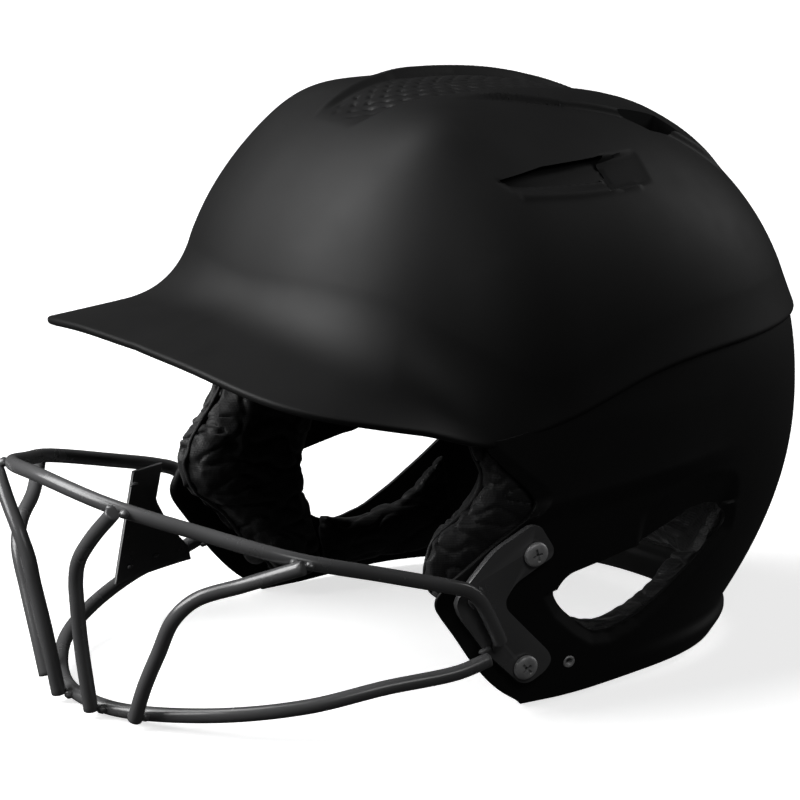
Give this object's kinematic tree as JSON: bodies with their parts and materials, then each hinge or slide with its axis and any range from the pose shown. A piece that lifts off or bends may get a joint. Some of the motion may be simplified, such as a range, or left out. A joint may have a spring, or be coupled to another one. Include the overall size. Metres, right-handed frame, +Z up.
{
  "type": "batting helmet",
  "caption": "Matte black batting helmet with a bill, padded ear flaps and a bolted welded-wire face mask.",
  "frame": {"origin": "on the surface that the helmet stands on, under the middle of its overall box", "axes": "+Z up, the bill and mask face -Y, +X to the wearer's left"},
  "size_m": [0.222, 0.3385, 0.23],
  "materials": {
    "shell": "matte black moulded ABS",
    "mask": "satin black powder coat over steel",
    "fabric": "black wicking cloth over foam",
    "foam": "black closed-cell foam",
    "steel": "zinc-plated steel"
  },
  "bodies": {
    "helmet": {"helmet_shell": "shell", "crown_pad": "foam", "brow_pad": "fabric", "rear_pad": "foam", "nape_pad": "fabric", "side_pad_left": "foam", "side_pad_right": "foam", "cheek_pad_left": "fabric", "cheek_pad_right": "fabric", "ear_pad_left": "fabric", "ear_pad_right": "fabric", "mask_upper_rail": "mask", "mask_lower_rail": "mask", "mask_inner_bar_left": "mask", "mask_inner_bar_right": "mask", "mask_outer_bar_left": "mask", "mask_outer_bar_right": "mask", "mask_plate_left": "mask", "mask_plate_right": "mask", "mask_tag_plate": "mask", "t_nut_upper_left": "steel", "t_nut_upper_right": "steel", "t_nut_lower_left": "steel", "t_nut_lower_right": "steel", "jaw_insert_left": "steel", "jaw_insert_right": "steel"},
    "screw_upper_left": {"screw_upper_left": "steel"},
    "screw_upper_right": {"screw_upper_right": "steel"},
    "screw_lower_left": {"screw_lower_left": "steel"},
    "screw_lower_right": {"screw_lower_right": "steel"}
  },
  "joints": [
    {"name": "screw_upper_left_turn", "type": "hinge", "parent": "helmet", "child": "screw_upper_left", "pos_m": [0.10805, -0.0118, 0.0653], "axis": [0.9806, -0.1203, -0.1551], "continuous": true},
    {"name": "screw_upper_right_turn", "type": "hinge", "parent": "helmet", "child": "screw_upper_right", "pos_m": [-0.10805, -0.0118, 0.0653], "axis": [-0.9806, -0.1203, -0.1551], "continuous": true},
    {"name": "screw_lower_left_turn", "type": "hinge", "parent": "helmet", "child": "screw_lower_left", "pos_m": [0.10066, -0.011, 0.018], "axis": [0.9806, -0.1203, -0.1551], "continuous": true},
    {"name": "screw_lower_right_turn", "type": "hinge", "parent": "helmet", "child": "screw_lower_right", "pos_m": [-0.10066, -0.011, 0.018], "axis": [-0.9806, -0.1203, -0.1551], "continuous": true}
  ]
}
